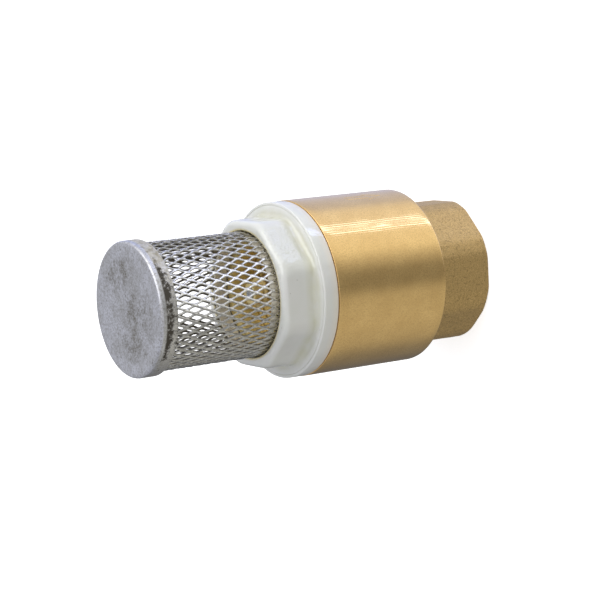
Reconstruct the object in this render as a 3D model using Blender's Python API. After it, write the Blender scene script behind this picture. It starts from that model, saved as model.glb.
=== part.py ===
"""Foot valve, DN25 (G1): brass body, spring-closed poppet, nylon strainer nut and steel strainer.

Run it with: blender --background --python part.py

The frame is +Z up in metres, with the origin at the centre of the outlet face. The valve stands on
its outlet, so the strainer points up. In use it hangs the other way up, on the end of a suction
pipe. Water comes in through the strainer, pushes the poppet off its seat towards the outlet, which
is down here, and the spring closes the poppet again.

All sizes below are in millimetres. Every turned part shares the valve's axis, which is the Z axis.
A part's profile is a list of (radius, height) points, with heights measured from the part's base.
"""

import math

import bmesh
import bpy
from mathutils import Matrix, Vector

MM = 0.001
CLEARANCE = 0.3           # left between neighbouring pieces

# Outside of the valve, from the outlet upwards
OUTLET_LENGTH = 18.3      # octagonal wrench end of the body
BARREL_LENGTH = 35.0
BARREL_RADIUS = 24.0
FLANGE_THICKNESS = 4.3    # nylon flange against the barrel
FLANGE_RADIUS = 23.9
NECK_LENGTH = 9.7         # nylon octagon above the flange
MESH_LENGTH = 30.8        # bare mesh between the neck and the end cap
CAP_LENGTH = 4.8
CAP_RADIUS = 17.93
OUTLET_FLATS = 38.0       # across flats of the outlet's octagon
OUTLET_LAND = 20.0        # radius of the round corners between its flats
NECK_FLATS = 39.0         # the same two sizes of the nylon octagon
NECK_LAND = 20.9

# Threads and bores of the body
PIPE_THREAD_MINOR = 15.3  # G1 socket
PIPE_THREAD_MAJOR = 16.63
SOCKET_DEPTH = 16.0
PORT_RADIUS = 13.0        # outlet port between socket and chamber
CHAMBER_FLOOR = 21.0
CHAMBER_RADIUS = 18.5
MOUTH_LEVEL = 46.0        # where the chamber widens into the threaded mouth
MOUTH_RADIUS = 20.6

# Inlet seat, screwed into the mouth of the body
SEAT_LEVEL = 45.0         # edge of the lip that the poppet closes on
SEAT_BORE = 11.6
SEAT_LIP_RADIUS = 12.9
SEAT_COLLAR_TOP = 53.0
SPIGOT_TOP = 63.6         # the strainer nut screws onto this spigot
SPIGOT_RADIUS = 16.4
GUIDE_BORE = 13.3
GUIDE_LEDGE = 52.4
GASKET_THICKNESS = 1.0

# Poppet stack on its stem
TRAVEL = 6.0              # lift of the poppet
STEM_RADIUS = 2.5
STEM_HOLE = STEM_RADIUS + CLEARANCE
STEM_BOTTOM = 21.0
STEM_TIP_RADIUS = 1.5     # M3 end for the stop nut
STEM_TIP_HOLE = STEM_TIP_RADIUS + CLEARANCE
STEM_SHOULDER = 62.5      # where the M3 end begins
STEM_TIP_LENGTH = 4.0
COLLAR_RADIUS = 4.5
COLLAR_THICKNESS = 1.5
DISC_RADIUS = 14.2
DISC_THICKNESS = 3.0
DISC_BOSS_RADIUS = 6.0
DISC_BOSS_LENGTH = 2.0
SEAL_RADIUS = 14.0
SEAL_THICKNESS = 1.8
RETAINER_RADIUS = 9.5
RETAINER_THICKNESS = 1.2
WASHER_RADIUS = 4.8
WASHER_THICKNESS = 0.8
SEAL_NUT_FLATS = 8.0
SEAL_NUT_HEIGHT = 3.0
STOP_WASHER_RADIUS = 4.2
STOP_WASHER_THICKNESS = 0.6
STOP_NUT_FLATS = 5.5
STOP_NUT_HEIGHT = 2.4

# Guides: a rim, a hub and three arms, with a plastic bush in the hub
HUB_RADIUS = 5.6
HUB_BORE = 4.2
ARM_COUNT = 3
ARM_WIDTH = 2.8
UPPER_RIM_RADIUS = 13.0
UPPER_RIM_BORE = 11.4
UPPER_GUIDE_HEIGHT = 2.7
LOWER_RIM_RADIUS = 18.2
LOWER_RIM_BORE = 14.8
LOWER_GUIDE_HEIGHT = 2.7
LOWER_HUB_HEIGHT = 5.7
BUSH_RADIUS = 3.9
BUSH_FLANGE_RADIUS = 5.2
BUSH_FLANGE_THICKNESS = 0.6
RING_RADIUS = 13.9        # retaining ring over the upper guide
RING_BORE = 12.3
RING_THICKNESS = 1.0
RING_GROOVE_RADIUS = 14.2
RING_OPENING = math.radians(44)

# Return spring and the cup that it stands in
SPRING_WIRE = 0.8
SPRING_RADIUS = 7.0       # to the middle of the wire
SPRING_TURNS = 5
SPRING_STEPS = 14         # points in each turn
CUP_RADIUS = 8.9
CUP_WALL = 0.6
CUP_HEIGHT = 2.2

# Strainer
MESH_RADIUS = 17.06
MESH_THICKNESS = 0.8
MESH_ACROSS = 24          # diamonds round the tube
MESH_ROWS = 5
MESH_ROW_PITCH = 5.0
MESH_OPEN_SHARE = 0.8     # how much of each diamond is open
CAP_WALL = 0.55
NUT_THREAD_RADIUS = 16.7
NUT_LIP_BORE = 15.4       # nylon lip inside the foot of the mesh
NUT_LIP_RADIUS = 15.95
NUT_LIP_RISE = 1.6        # lip above the neck
NECK_BORE = 17.7
MESH_SLOT_RADIUS = 17.4

# Levels that follow from the sizes above
BARREL_TOP = OUTLET_LENGTH + BARREL_LENGTH
NUT_BASE = BARREL_TOP + CLEARANCE
NECK_TOP = NUT_BASE + FLANGE_THICKNESS + NECK_LENGTH
CAP_BASE = NECK_TOP + MESH_LENGTH
CAP_TOP = CAP_BASE + CAP_LENGTH
NUT_SHOULDER = SPIGOT_TOP + 2 * CLEARANCE
MESH_BASE = NUT_SHOULDER + 0.7 + CLEARANCE
MESH_TOP = CAP_TOP - CAP_WALL - CLEARANCE
SEAL_BASE = SEAT_LEVEL - CLEARANCE - SEAL_THICKNESS
DISC_BASE = SEAL_BASE - CLEARANCE - DISC_THICKNESS
COLLAR_BASE = DISC_BASE - DISC_BOSS_LENGTH - CLEARANCE - COLLAR_THICKNESS
RETAINER_BASE = SEAT_LEVEL
WASHER_BASE = RETAINER_BASE + RETAINER_THICKNESS + CLEARANCE
SEAL_NUT_BASE = WASHER_BASE + WASHER_THICKNESS + CLEARANCE
STOP_WASHER_BASE = STEM_SHOULDER + CLEARANCE
STOP_NUT_BASE = STOP_WASHER_BASE + STOP_WASHER_THICKNESS + CLEARANCE
UPPER_GUIDE_BASE = GUIDE_LEDGE + CLEARANCE
UPPER_GUIDE_TOP = UPPER_GUIDE_BASE + UPPER_GUIDE_HEIGHT
RING_BASE = UPPER_GUIDE_TOP + CLEARANCE
LOWER_GUIDE_BASE = CHAMBER_FLOOR + CLEARANCE
LOWER_HUB_TOP = LOWER_GUIDE_BASE + LOWER_HUB_HEIGHT
CUP_BASE = LOWER_GUIDE_BASE + LOWER_GUIDE_HEIGHT + CLEARANCE
SPRING_BASE = CUP_BASE + CUP_WALL + CLEARANCE
SPRING_TOP = DISC_BASE - CLEARANCE

LARGE_STEPS = 48          # sides of the large round parts
MEDIUM_STEPS = 32
SMALL_STEPS = 20          # sides of the parts on and round the stem


# ---------------------------------------------------------------- materials

def material(name, colour, roughness, metallic):
    made = bpy.data.materials.new(name)
    made.use_nodes = True
    shader = made.node_tree.nodes["Principled BSDF"]
    shader.inputs["Base Color"].default_value = (*colour, 1.0)
    shader.inputs["Roughness"].default_value = roughness
    shader.inputs["Metallic"].default_value = metallic
    made.diffuse_color = (*colour, 1.0)
    return made


def make_materials():
    return {
        "body_brass": material("body_brass", (0.56, 0.38, 0.16), 0.35, 1.0),
        "seat_brass": material("seat_brass", (0.60, 0.42, 0.16), 0.25, 1.0),
        "poppet_brass": material("poppet_brass", (0.58, 0.40, 0.17), 0.25, 1.0),
        "steel": material("steel", (0.55, 0.55, 0.56), 0.30, 1.0),
        "spring_steel": material("spring_steel", (0.45, 0.45, 0.46), 0.25, 1.0),
        "mesh_steel": material("mesh_steel", (0.58, 0.58, 0.60), 0.35, 1.0),
        "cap_steel": material("cap_steel", (0.32, 0.32, 0.34), 0.45, 1.0),
        "nylon": material("nylon", (0.62, 0.64, 0.60), 0.35, 0.0),
        "acetal": material("acetal", (0.80, 0.79, 0.74), 0.40, 0.0),
        "nitrile": material("nitrile", (0.02, 0.02, 0.02), 0.60, 0.0),
        "fibre": material("fibre", (0.18, 0.24, 0.16), 0.80, 0.0),
    }


# ---------------------------------------------------------------- building blocks

def add_object(name, data, base, look, parent=None):
    """Put a mesh or curve in the scene with its base at this height on the axis."""
    made = bpy.data.objects.new(name, data)
    bpy.context.scene.collection.objects.link(made)
    made.parent = parent
    parent_height = parent.location.z if parent else 0.0
    made.location = (0.0, 0.0, base * MM - parent_height)
    if look:
        data.materials.append(look)
    return made


def finish_mesh(name, shape):
    """Turn a bmesh in millimetres into a closed, outward-facing mesh in metres."""
    bmesh.ops.remove_doubles(shape, verts=shape.verts, dist=0.001)
    bmesh.ops.recalc_face_normals(shape, faces=shape.faces)
    bmesh.ops.scale(shape, vec=(MM, MM, MM), verts=shape.verts)
    mesh = bpy.data.meshes.new(name)
    shape.to_mesh(mesh)
    shape.free()
    mesh.shade_smooth()
    mesh.set_sharp_from_angle(angle=math.radians(32))
    return mesh


def turned(name, profile, base, look, steps=SMALL_STEPS, parent=None):
    """A ring from a closed profile, or a solid from one that starts and ends on the axis."""
    shape = bmesh.new()
    points = [shape.verts.new((radius, 0.0, height)) for radius, height in profile]
    on_axis = profile[0][0] == 0.0 and profile[-1][0] == 0.0
    pairs = list(zip(points, points[1:]))
    if not on_axis:
        pairs.append((points[-1], points[0]))
    edges = [shape.edges.new(pair) for pair in pairs]
    bmesh.ops.spin(shape, geom=points + edges, cent=(0, 0, 0), axis=(0, 0, 1),
                   angle=math.tau, steps=steps, use_merge=True)
    return add_object(name, finish_mesh(name, shape), base, look, parent)


def tube(name, bore, radius, height, base, look, steps=SMALL_STEPS, parent=None):
    profile = [(radius, height), (radius, 0.0), (bore, 0.0), (bore, height)]
    return turned(name, profile, base, look, steps, parent)


def prism(name, sides, flats, height, base, look, parent=None):
    """A regular prism whose first flat faces +X."""
    shape = bmesh.new()
    radius = flats / 2 / math.cos(math.pi / sides)
    turn = Matrix.Rotation(math.pi / sides, 4, "Z") @ Matrix.Translation((0, 0, height / 2))
    bmesh.ops.create_cone(shape, cap_ends=True, segments=sides, radius1=radius, radius2=radius,
                          depth=height, matrix=turn)
    first = min(shape.verts, key=lambda vert: abs(math.atan2(vert.co.y, vert.co.x)))
    spare = math.atan2(first.co.y, first.co.x) - math.pi / sides
    bmesh.ops.rotate(shape, verts=shape.verts, matrix=Matrix.Rotation(-spare, 3, "Z"))
    return add_object(name, finish_mesh(name, shape), base, look, parent)


def blocks(name, size, places, base):
    """Boxes of one size, each at (angle, radius, height) round the axis: a tool for Booleans."""
    shape = bmesh.new()
    for angle, radius, height in places:
        place = (Matrix.Rotation(angle, 4, "Z") @ Matrix.Translation((radius, 0.0, height))
                 @ Matrix.Diagonal((*size, 1.0)))
        bmesh.ops.create_cube(shape, size=1.0, matrix=place)
    return as_tool(add_object(name, finish_mesh(name, shape), base, None))


def as_tool(made):
    """Hide a helper that only shapes other parts."""
    made.hide_render = True
    made.display_type = "WIRE"
    return made


def shape_with(target, tool, operation):
    modifier = target.modifiers.new(tool.name, "BOOLEAN")
    modifier.object = tool
    modifier.operation = operation
    modifier.solver = "EXACT"


def mill_octagon(target, name, flats, bottom, top):
    """Cut eight flats round the axis between two levels: the tool is all that lies outside them."""
    outer = 2 * BARREL_RADIUS
    height = top - bottom
    waste = as_tool(tube(name, flats / 2 - 2.0, outer, height, bottom, None, SMALL_STEPS))
    kept = as_tool(prism(name + "_core", 8, flats, height + 2.0, bottom - 1.0, None))
    shape_with(waste, kept, "DIFFERENCE")
    shape_with(target, waste, "DIFFERENCE")


# ---------------------------------------------------------------- body and inlet seat

def valve_body(looks):
    """Octagonal socket, round barrel and the chamber that the poppet works in."""
    root = 0.3            # small step where an octagon meets a round face
    bevel = 0.5
    end_radius = 19.4     # turned chamfer on the outlet end
    profile = [
        (end_radius, 0.0),
        (PIPE_THREAD_MAJOR + 0.3, 0.0),
        (PIPE_THREAD_MINOR, 1.6),
        (PIPE_THREAD_MINOR, SOCKET_DEPTH),
        (PORT_RADIUS, SOCKET_DEPTH),
        (PORT_RADIUS, CHAMBER_FLOOR),
        (CHAMBER_RADIUS, CHAMBER_FLOOR),
        (CHAMBER_RADIUS, MOUTH_LEVEL),
        (MOUTH_RADIUS, MOUTH_LEVEL),
        (MOUTH_RADIUS, BARREL_TOP - bevel),
        (MOUTH_RADIUS + bevel, BARREL_TOP),
        (BARREL_RADIUS - bevel, BARREL_TOP),
        (BARREL_RADIUS, BARREL_TOP - bevel),
        (BARREL_RADIUS, OUTLET_LENGTH + bevel),
        (BARREL_RADIUS - bevel, OUTLET_LENGTH),
        (OUTLET_LAND + root, OUTLET_LENGTH),
        (OUTLET_LAND, OUTLET_LENGTH - root),
        (OUTLET_LAND, OUTLET_LAND - end_radius),
    ]
    body = turned("valve_body", profile, 0.0, looks["body_brass"], LARGE_STEPS)
    mill_octagon(body, "outlet_flats_tool", OUTLET_FLATS, -1.0, OUTLET_LENGTH - root - 0.05)


def inlet_seat(looks):
    """Screwed bushing: lip and bore for the poppet below, male spigot for the strainer above."""
    bevel = 0.8
    groove_bottom = RING_BASE - CLEARANCE - SEAT_LEVEL
    groove_top = RING_BASE + RING_THICKNESS + CLEARANCE - SEAT_LEVEL
    collar_base = MOUTH_LEVEL + GASKET_THICKNESS + 2 * CLEARANCE - SEAT_LEVEL
    collar_top = SEAT_COLLAR_TOP - SEAT_LEVEL
    spigot_top = SPIGOT_TOP - SEAT_LEVEL
    profile = [
        (SPIGOT_RADIUS - bevel, spigot_top),
        (SPIGOT_RADIUS, spigot_top - bevel),
        (SPIGOT_RADIUS, collar_top),
        (MOUTH_RADIUS - CLEARANCE, collar_top),
        (MOUTH_RADIUS - CLEARANCE, collar_base),
        (SEAT_LIP_RADIUS, collar_base),
        (SEAT_LIP_RADIUS, 0.4),
        (SEAT_LIP_RADIUS - 0.4, 0.0),
        (SEAT_BORE, 0.0),
        (SEAT_BORE, GUIDE_LEDGE - SEAT_LEVEL),
        (GUIDE_BORE, GUIDE_LEDGE - SEAT_LEVEL),
        (GUIDE_BORE, groove_bottom),
        (RING_GROOVE_RADIUS, groove_bottom),
        (RING_GROOVE_RADIUS, groove_top),
        (GUIDE_BORE, groove_top),
        (GUIDE_BORE, spigot_top),
    ]
    seat = turned("inlet_seat", profile, SEAT_LEVEL, looks["seat_brass"], LARGE_STEPS)
    slot = (5.0, 4.0, 4.0)
    places = [(angle, MOUTH_RADIUS, SEAT_COLLAR_TOP) for angle in (0.0, math.pi)]
    shape_with(seat, blocks("spanner_slot_tool", slot, places, 0.0), "DIFFERENCE")


def body_gasket(looks):
    base = MOUTH_LEVEL + CLEARANCE
    bore = CHAMBER_RADIUS + CLEARANCE
    tube("body_gasket", bore, MOUTH_RADIUS - CLEARANCE, GASKET_THICKNESS, base, looks["fibre"],
         MEDIUM_STEPS)


# ---------------------------------------------------------------- guides

def spider(name, rim, hub_height, height, base, look):
    """Rim (bore, radius) and hub joined by arms. The hub may stand higher than the rim."""
    rim_bore, rim_radius = rim
    guide = tube(name, rim_bore, rim_radius, height, base, look, MEDIUM_STEPS)
    hub = as_tool(tube(name + "_hub_tool", HUB_BORE, HUB_RADIUS, hub_height, base, None))
    inner = (HUB_BORE + HUB_RADIUS) / 2
    outer = (rim_bore + rim_radius) / 2
    size = (outer - inner, ARM_WIDTH, height - 0.4)
    places = [(index * math.tau / ARM_COUNT, (inner + outer) / 2, height / 2)
              for index in range(ARM_COUNT)]
    arms = blocks(name + "_arm_tool", size, places, base)
    shape_with(arms, hub, "UNION")
    shape_with(guide, arms, "UNION")


def bush(name, length, base, look):
    """Plain sleeve with a flange at its top."""
    profile = [
        (BUSH_FLANGE_RADIUS, length + BUSH_FLANGE_THICKNESS),
        (BUSH_FLANGE_RADIUS, length),
        (BUSH_RADIUS, length),
        (BUSH_RADIUS, 0.0),
        (STEM_HOLE, 0.0),
        (STEM_HOLE, length + BUSH_FLANGE_THICKNESS),
    ]
    turned(name, profile, base, look)


def retaining_ring(looks):
    """Internal circlip: an open ring with a pierced lug at each end."""
    shape = bmesh.new()
    corners = [(RING_BORE, 0.0), (RING_RADIUS, 0.0), (RING_RADIUS, RING_THICKNESS),
               (RING_BORE, RING_THICKNESS)]
    start = [shape.verts.new((radius, 0.0, height)) for radius, height in corners]
    edges = [shape.edges.new(pair) for pair in zip(start, start[1:] + start[:1])]
    bmesh.ops.spin(shape, geom=start + edges, cent=(0, 0, 0), axis=(0, 0, 1), steps=30,
                   angle=math.tau - RING_OPENING)
    open_edges = [edge for edge in shape.edges if edge.is_boundary]
    bmesh.ops.holes_fill(shape, edges=open_edges, sides=4)
    bmesh.ops.rotate(shape, verts=shape.verts, matrix=Matrix.Rotation(RING_OPENING / 2, 3, "Z"))
    ring = add_object("upper_guide_ring", finish_mesh("upper_guide_ring", shape), RING_BASE,
                      looks["seat_brass"])
    lug_radius = 1.3
    middle = RING_BORE - 0.2
    for side in (-1, 1):
        angle = side * (RING_OPENING / 2 + 0.08)
        spot = Vector((middle * math.cos(angle), middle * math.sin(angle), 0.0)) * MM
        label = "left" if side < 0 else "right"
        lug = as_tool(disc("lug_tool_" + label, lug_radius, RING_THICKNESS - 0.1,
                           RING_BASE + 0.05, spot))
        hole = as_tool(disc("lug_hole_tool_" + label, 0.55, 3.0, RING_BASE - 1.0, spot))
        shape_with(ring, lug, "UNION")
        shape_with(ring, hole, "DIFFERENCE")


def disc(name, radius, height, base, spot):
    """A small cylinder standing beside the axis."""
    profile = [(0.0, height), (radius, height), (radius, 0.0), (0.0, 0.0)]
    made = turned(name, profile, base, None, 12)
    made.location += spot
    return made


def guides(looks):
    upper_rim = (UPPER_RIM_BORE, UPPER_RIM_RADIUS)
    lower_rim = (LOWER_RIM_BORE, LOWER_RIM_RADIUS)
    spider("upper_guide", upper_rim, UPPER_GUIDE_HEIGHT, UPPER_GUIDE_HEIGHT, UPPER_GUIDE_BASE,
           looks["seat_brass"])
    spider("lower_guide", lower_rim, LOWER_HUB_HEIGHT, LOWER_GUIDE_HEIGHT, LOWER_GUIDE_BASE,
           looks["seat_brass"])
    bush("upper_bush", UPPER_GUIDE_HEIGHT + CLEARANCE, UPPER_GUIDE_BASE, looks["acetal"])
    bush("lower_bush", LOWER_HUB_HEIGHT + CLEARANCE, LOWER_GUIDE_BASE, looks["acetal"])
    retaining_ring(looks)


# ---------------------------------------------------------------- poppet

def valve_stem(looks, poppet):
    collar_base = COLLAR_BASE - STEM_BOTTOM
    collar_top = collar_base + COLLAR_THICKNESS
    shoulder = STEM_SHOULDER - STEM_BOTTOM
    tip = shoulder + STEM_TIP_LENGTH
    bevel = 0.4
    profile = [
        (0.0, tip),
        (STEM_TIP_RADIUS - bevel, tip),
        (STEM_TIP_RADIUS, tip - bevel),
        (STEM_TIP_RADIUS, shoulder),
        (STEM_RADIUS, shoulder),
        (STEM_RADIUS, collar_top),
        (COLLAR_RADIUS, collar_top),
        (COLLAR_RADIUS, collar_base),
        (STEM_RADIUS, collar_base),
        (STEM_RADIUS, bevel),
        (STEM_RADIUS - bevel, 0.0),
        (0.0, 0.0),
    ]
    turned("valve_stem", profile, STEM_BOTTOM, looks["steel"], SMALL_STEPS, poppet)


def poppet_disc(looks, poppet):
    """Brass disc, dished underneath round the boss that centres the spring."""
    top = DISC_BOSS_LENGTH + DISC_THICKNESS
    profile = [
        (DISC_RADIUS, top),
        (DISC_RADIUS, DISC_BOSS_LENGTH + 0.6),
        (DISC_RADIUS - 0.6, DISC_BOSS_LENGTH),
        (DISC_BOSS_RADIUS, DISC_BOSS_LENGTH),
        (DISC_BOSS_RADIUS, 0.0),
        (STEM_HOLE, 0.0),
        (STEM_HOLE, top),
    ]
    base = DISC_BASE - DISC_BOSS_LENGTH
    turned("poppet_disc", profile, base, looks["poppet_brass"], MEDIUM_STEPS, poppet)


def nut(name, flats, hole, height, base, look, parent):
    """Hexagon nut with a plain hole."""
    made = prism(name, 6, flats, height, base, look, parent)
    hole_tool = as_tool(disc(name + "_hole_tool", hole, height + 2.0, base - 1.0, Vector()))
    shape_with(made, hole_tool, "DIFFERENCE")


def poppet_parts(looks):
    """Everything that lifts together rides on one empty at the level of the seat."""
    poppet = bpy.data.objects.new("poppet", None)
    poppet.location = (0.0, 0.0, SEAT_LEVEL * MM)
    bpy.context.scene.collection.objects.link(poppet)
    valve_stem(looks, poppet)
    poppet_disc(looks, poppet)
    tube("poppet_seal", STEM_HOLE, SEAL_RADIUS, SEAL_THICKNESS, SEAL_BASE, looks["nitrile"],
         MEDIUM_STEPS, poppet)
    tube("seal_retainer", STEM_HOLE, RETAINER_RADIUS, RETAINER_THICKNESS, RETAINER_BASE,
         looks["poppet_brass"], MEDIUM_STEPS, poppet)
    tube("seal_washer", STEM_HOLE, WASHER_RADIUS, WASHER_THICKNESS, WASHER_BASE,
         looks["steel"], SMALL_STEPS, poppet)
    nut("seal_nut", SEAL_NUT_FLATS, STEM_HOLE, SEAL_NUT_HEIGHT, SEAL_NUT_BASE,
        looks["steel"], poppet)
    tube("stop_washer", STEM_TIP_HOLE, STOP_WASHER_RADIUS, STOP_WASHER_THICKNESS,
         STOP_WASHER_BASE, looks["poppet_brass"], SMALL_STEPS, poppet)
    nut("stop_nut", STOP_NUT_FLATS, STEM_TIP_HOLE, STOP_NUT_HEIGHT, STOP_NUT_BASE,
        looks["poppet_brass"], poppet)


# ---------------------------------------------------------------- spring

def spring_cup(looks):
    bore = HUB_RADIUS + CLEARANCE
    profile = [
        (CUP_RADIUS, CUP_HEIGHT),
        (CUP_RADIUS, 0.0),
        (bore, 0.0),
        (bore, CUP_WALL),
        (CUP_RADIUS - CUP_WALL, CUP_WALL),
        (CUP_RADIUS - CUP_WALL, CUP_HEIGHT),
    ]
    turned("spring_cup", profile, CUP_BASE, looks["steel"])


def return_spring(looks):
    """Compression coil between the cup and the poppet, as a round wire along a helix."""
    curve = bpy.data.curves.new("return_spring", "CURVE")
    curve.dimensions = "3D"
    curve.resolution_u = 1
    curve.render_resolution_u = 0
    curve.bevel_depth = SPRING_WIRE / 2 * MM
    curve.bevel_resolution = 1
    curve.use_fill_caps = True
    count = SPRING_TURNS * SPRING_STEPS + 1
    rise = SPRING_TOP - SPRING_BASE - SPRING_WIRE
    wire = curve.splines.new("POLY")
    wire.points.add(count - 1)
    for index, point in enumerate(wire.points):
        angle = math.tau * index / SPRING_STEPS
        height = SPRING_WIRE / 2 + rise * index / (count - 1)
        place = Vector((SPRING_RADIUS * math.cos(angle), SPRING_RADIUS * math.sin(angle), height))
        point.co = (*(place * MM), 1.0)
    add_object("return_spring", curve, SPRING_BASE, looks["spring_steel"])


# ---------------------------------------------------------------- strainer

def strainer_nut(looks):
    """Nylon nut: thread for the spigot, flange, octagonal neck and a slot that holds the mesh."""
    thread_top = NUT_SHOULDER - NUT_BASE
    slot_floor = MESH_BASE - CLEARANCE - NUT_BASE
    neck_top = NECK_TOP - NUT_BASE
    edge = 0.9
    round_start = neck_top - 4.0
    profile = [
        (NECK_BORE, neck_top),
        (18.9, neck_top),
        (20.1, neck_top - 1.2),
        (NECK_LAND, round_start),
        (NECK_LAND, FLANGE_THICKNESS + 0.3),
        (NECK_LAND + 0.3, FLANGE_THICKNESS),
        (FLANGE_RADIUS - edge, FLANGE_THICKNESS),
        (FLANGE_RADIUS, FLANGE_THICKNESS - edge),
        (FLANGE_RADIUS, 0.0),
        (NUT_THREAD_RADIUS + 0.8, 0.0),
        (NUT_THREAD_RADIUS, 0.8),
        (NUT_THREAD_RADIUS, thread_top),
        (NUT_LIP_BORE, thread_top),
        (NUT_LIP_BORE, neck_top + NUT_LIP_RISE),
        (NUT_LIP_RADIUS, neck_top + NUT_LIP_RISE),
        (NUT_LIP_RADIUS, slot_floor),
        (MESH_SLOT_RADIUS, slot_floor),
        (MESH_SLOT_RADIUS, neck_top - 0.4),
    ]
    made = turned("strainer_nut", profile, NUT_BASE, looks["nylon"], LARGE_STEPS)
    flats_base = NUT_BASE + FLANGE_THICKNESS + 0.35
    mill_octagon(made, "neck_flats_tool", NECK_FLATS, flats_base, NECK_TOP + 1.0)


def strainer_mesh(looks):
    """Expanded metal rolled into a tube: diamond holes in staggered rows, a plain band at each end."""
    height = MESH_TOP - MESH_BASE
    half_step = math.pi / MESH_ACROSS
    first_row = height / 2 - MESH_ROW_PITCH * (MESH_ROWS - 1) / 2
    shape = bmesh.new()
    corners = {}

    def corner(column, level):
        """Shared point at a half-step column round the tube; levels are in row pitches."""
        column = round(column % (2 * MESH_ACROSS), 3)
        key = (column, round(level, 3))
        if key not in corners:
            angle = column * half_step
            spot = (MESH_RADIUS * math.cos(angle), MESH_RADIUS * math.sin(angle), level)
            corners[key] = shape.verts.new(spot)
        return corners[key]

    for row in range(MESH_ROWS):
        middle = first_row + row * MESH_ROW_PITCH
        for index in range(MESH_ACROSS):
            column = 2 * index + row % 2
            outline = [(1, 0), (0, 1), (-1, 0), (0, -1)]
            rim = [corner(column + x, middle + y * MESH_ROW_PITCH) for x, y in outline]
            hole = [corner(column + x * MESH_OPEN_SHARE,
                           middle + y * MESH_ROW_PITCH * MESH_OPEN_SHARE) for x, y in outline]
            for side in range(4):
                after = (side + 1) % 4
                shape.faces.new((rim[side], rim[after], hole[after], hole[side]))

    ends = ((0, -1, 0.0), (MESH_ROWS - 1, 1, height))
    for row, side, edge in ends:
        middle = first_row + row * MESH_ROW_PITCH
        tip_level = middle + side * MESH_ROW_PITCH
        for index in range(MESH_ACROSS):
            column = 2 * index + row % 2
            tips = (corner(column, tip_level), corner(column + 2, tip_level))
            shape.faces.new((tips[0], tips[1], corner(column + 1, middle)))
            shape.faces.new((tips[1], tips[0], corner(column, edge), corner(column + 2, edge)))

    mesh = add_object("strainer_mesh", finish_mesh("strainer_mesh", shape), MESH_BASE,
                      looks["mesh_steel"])
    wall = mesh.modifiers.new("wall", "SOLIDIFY")
    wall.thickness = MESH_THICKNESS * MM
    wall.offset = -1.0


def end_cap(looks):
    """Pressed steel cup that closes the end of the mesh."""
    edge = 0.5
    inner = CAP_RADIUS - CAP_WALL
    roof = CAP_LENGTH - CAP_WALL
    profile = [
        (0.0, CAP_LENGTH),
        (CAP_RADIUS - edge, CAP_LENGTH),
        (CAP_RADIUS - edge * (1 - math.sqrt(0.5)), CAP_LENGTH - edge * (1 - math.sqrt(0.5))),
        (CAP_RADIUS, CAP_LENGTH - edge),
        (CAP_RADIUS, 0.0),
        (inner, 0.0),
        (inner, roof),
        (0.0, roof),
    ]
    turned("end_cap", profile, CAP_BASE, looks["cap_steel"], LARGE_STEPS)


# ---------------------------------------------------------------- the whole valve

def main():
    for existing in list(bpy.data.objects):
        bpy.data.objects.remove(existing, do_unlink=True)
    looks = make_materials()
    valve_body(looks)
    inlet_seat(looks)
    body_gasket(looks)
    guides(looks)
    spring_cup(looks)
    return_spring(looks)
    poppet_parts(looks)
    strainer_nut(looks)
    strainer_mesh(looks)
    end_cap(looks)


main()
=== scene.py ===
"""Foot valve, DN25 (G1): the looks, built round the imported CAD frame.

Every turned piece is made column by column: at each angle round the axis, a function gives the
profile there as (radius, height) points in millimetres, so that flats, threads, engraving and small
irregularities are all part of the mesh. Angles are measured round +Z from +X.
"""

import math

import bmesh
import bpy
from mathutils import Matrix, Vector, noise


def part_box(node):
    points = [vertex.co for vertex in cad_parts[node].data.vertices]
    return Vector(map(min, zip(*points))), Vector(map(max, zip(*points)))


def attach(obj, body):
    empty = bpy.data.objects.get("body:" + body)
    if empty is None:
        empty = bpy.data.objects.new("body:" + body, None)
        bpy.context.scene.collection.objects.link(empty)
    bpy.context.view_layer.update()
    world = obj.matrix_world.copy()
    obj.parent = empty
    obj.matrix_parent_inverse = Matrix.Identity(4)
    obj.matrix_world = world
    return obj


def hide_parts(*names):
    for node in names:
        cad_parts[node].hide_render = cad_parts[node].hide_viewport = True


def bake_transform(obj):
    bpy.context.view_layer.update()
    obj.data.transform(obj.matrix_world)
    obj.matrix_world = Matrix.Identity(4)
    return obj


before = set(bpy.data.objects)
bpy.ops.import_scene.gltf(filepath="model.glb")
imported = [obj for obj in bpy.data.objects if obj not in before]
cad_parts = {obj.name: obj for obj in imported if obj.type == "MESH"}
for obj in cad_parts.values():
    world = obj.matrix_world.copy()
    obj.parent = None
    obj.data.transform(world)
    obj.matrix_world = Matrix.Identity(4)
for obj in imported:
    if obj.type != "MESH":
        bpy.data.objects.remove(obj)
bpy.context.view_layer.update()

MM = 0.001


def extent(node):
    """(radius, base, top) of a CAD node that is round the axis, in millimetres."""
    low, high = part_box(node)
    return high.x / MM, low.z / MM, high.z / MM


# Sizes that come from the frame
BARREL_RADIUS, _, BODY_TOP = extent("valve_body")
FLANGE_RADIUS, NUT_BASE, LIP_TOP = extent("strainer_nut")
MESH_RADIUS, MESH_BASE, MESH_TOP = extent("strainer_mesh")
CAP_RADIUS, CAP_BASE, CAP_TOP = extent("end_cap")
COLLAR_RADIUS, SEAT_BASE, SPIGOT_TOP = extent("inlet_seat")
STEM_COLLAR_RADIUS, STEM_BASE, STEM_TOP = extent("valve_stem")
SPRING_OUTSIDE, SPRING_BASE, SPRING_TOP = extent("return_spring")

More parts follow.
